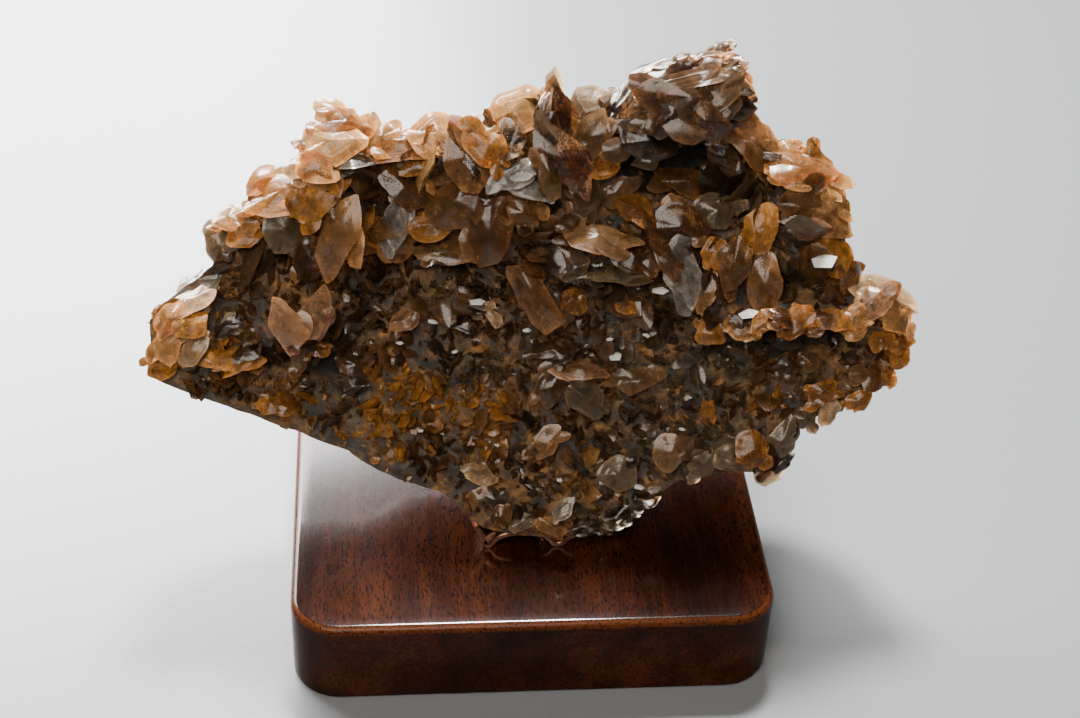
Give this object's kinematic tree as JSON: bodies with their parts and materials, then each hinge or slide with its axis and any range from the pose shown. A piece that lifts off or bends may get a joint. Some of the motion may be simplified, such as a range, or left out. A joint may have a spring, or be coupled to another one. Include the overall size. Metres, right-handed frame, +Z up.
{
  "type": "mineral specimen",
  "caption": "Plate of lens-shaped ferroan calcite crystals on dark rock, leaning in a small metal cradle on a polished wooden block.",
  "frame": {"origin": "the middle of the wooden block's underside, which is the rest plane", "axes": "+Z up; +X to the viewer's right, along the specimen's width; the crystal face looks towards -Y and leans back"},
  "size_m": [0.1429, 0.09, 0.1069],
  "materials": {
    "calcite": "glossy translucent crystals, smoky brown and peach, with rusty iron staining",
    "metal": "dark copper-brown patina",
    "wood": "reddish-brown stained wood, semi-gloss"
  },
  "bodies": {
    "root": {"calcite_specimen": "calcite", "front_cradle": "metal", "back_rest": "metal", "wood_base": "wood"}
  },
  "joints": []
}
